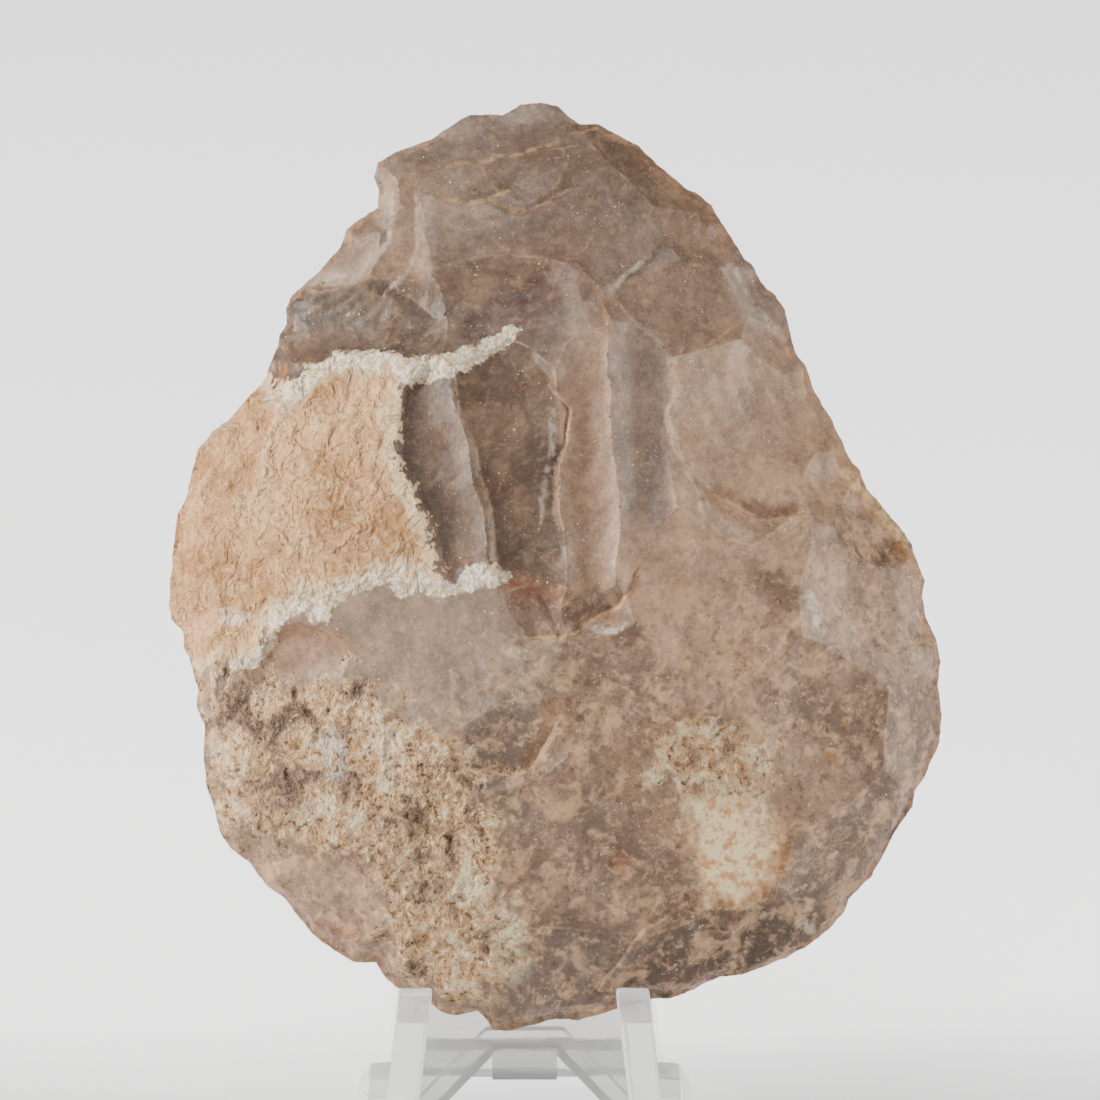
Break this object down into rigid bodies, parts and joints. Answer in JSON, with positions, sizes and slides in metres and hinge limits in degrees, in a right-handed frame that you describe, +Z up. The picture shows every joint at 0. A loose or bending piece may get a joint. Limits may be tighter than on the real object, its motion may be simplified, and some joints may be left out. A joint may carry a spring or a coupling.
{
  "type": "stone hand axe on a display easel",
  "caption": "Knapped flint hand axe with a broad round base and a blunt point, leaning in a small clear moulded easel.",
  "frame": {"origin": "middle of the footprint box, on the surface that the easel's feet stand on", "axes": "+Z up; the axe's shown face looks towards -Y; +X to the right of someone who looks at that face"},
  "size_m": [0.1128, 0.0494, 0.149],
  "materials": {
    "flint": "flaked, satin, with a rough rind",
    "clear_plastic": "clear and glossy"
  },
  "bodies": {
    "root": {"hand_axe": "flint", "display_easel": "clear_plastic"}
  },
  "joints": []
}
